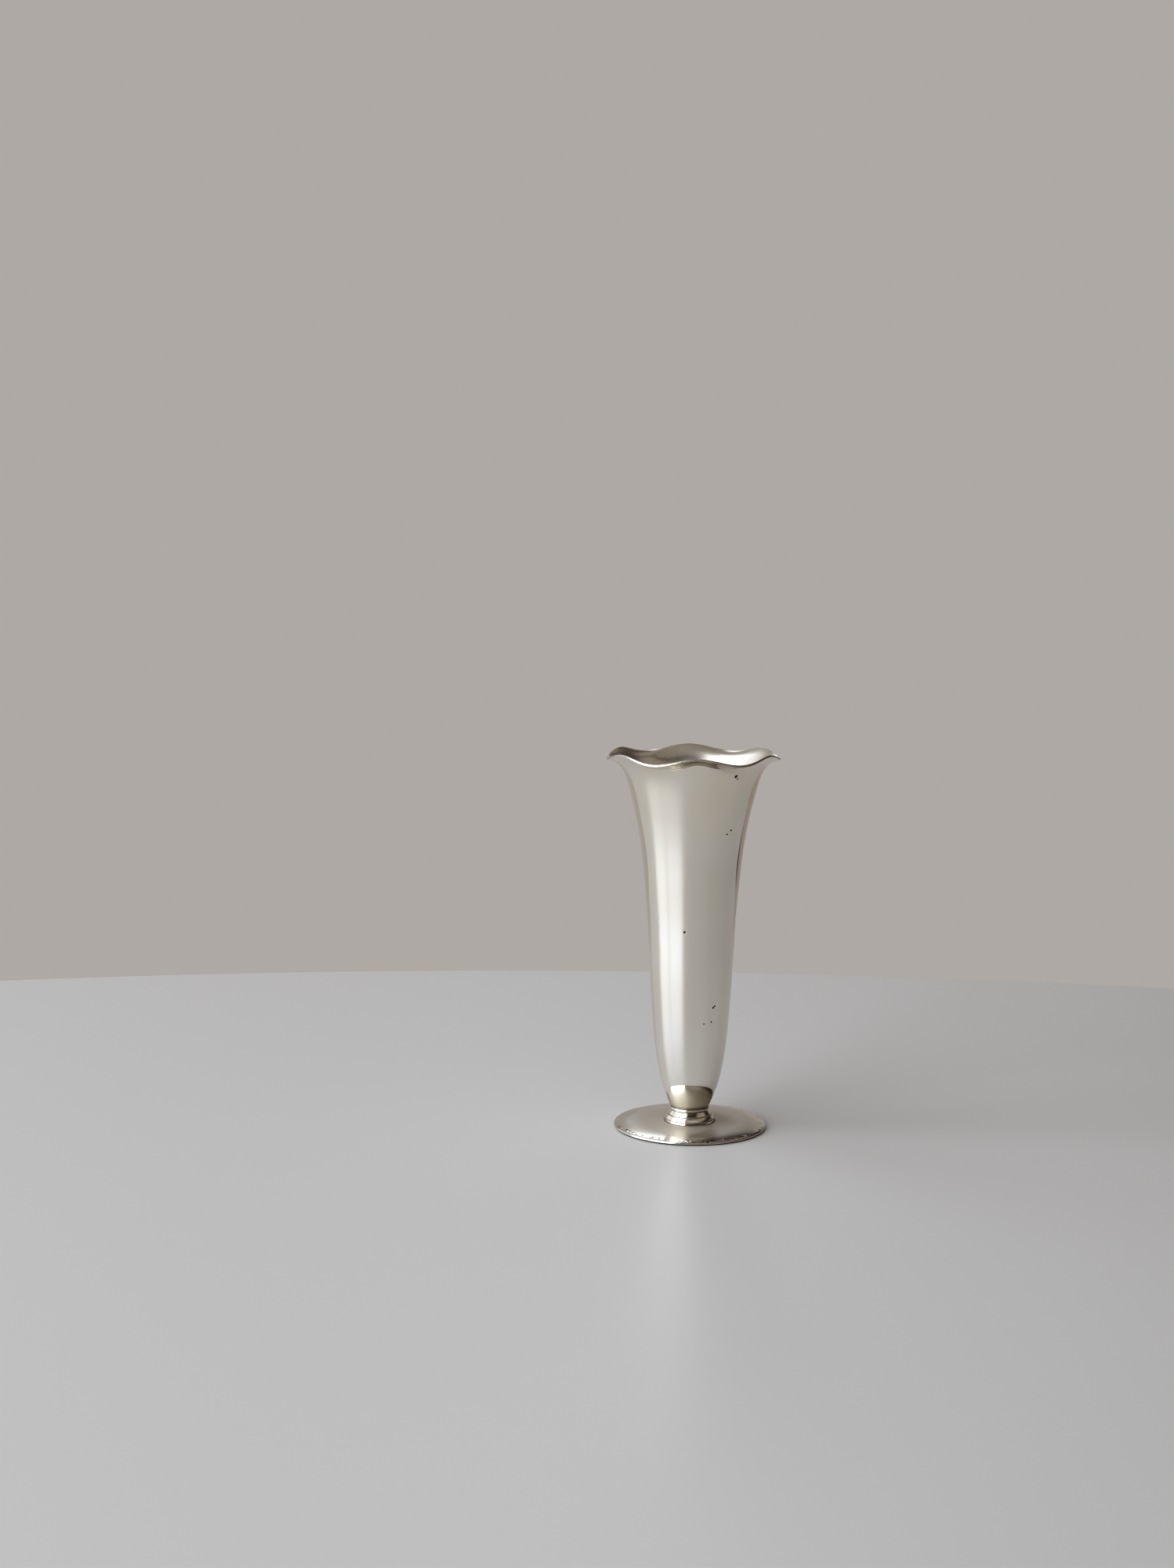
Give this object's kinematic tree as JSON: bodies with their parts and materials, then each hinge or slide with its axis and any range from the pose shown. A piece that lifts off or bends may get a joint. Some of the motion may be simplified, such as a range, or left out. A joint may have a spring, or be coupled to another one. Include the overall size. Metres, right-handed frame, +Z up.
{
  "type": "trumpet vase",
  "caption": "Slender trumpet vase in polished silver plate: flared body with a waved lip, thin waist ring, domed collar and flat round foot on felt, for holding cut stems.",
  "frame": {"origin": "centre of the underside of the felt pad, on the surface that the vase stands on", "axes": "+Z up along the vase's axis, front of the picture towards -Y, +X to its right"},
  "size_m": [0.0658, 0.0636, 0.1442],
  "materials": {
    "silver_plate": "polished",
    "solder": "satin",
    "felt": "matte"
  },
  "bodies": {
    "root": {"felt_pad": "felt", "foot_plate": "silver_plate", "foot_solder": "solder", "neck_collar": "silver_plate", "waist_ring": "silver_plate", "seam_solder": "solder", "trumpet_body": "silver_plate"}
  },
  "joints": []
}
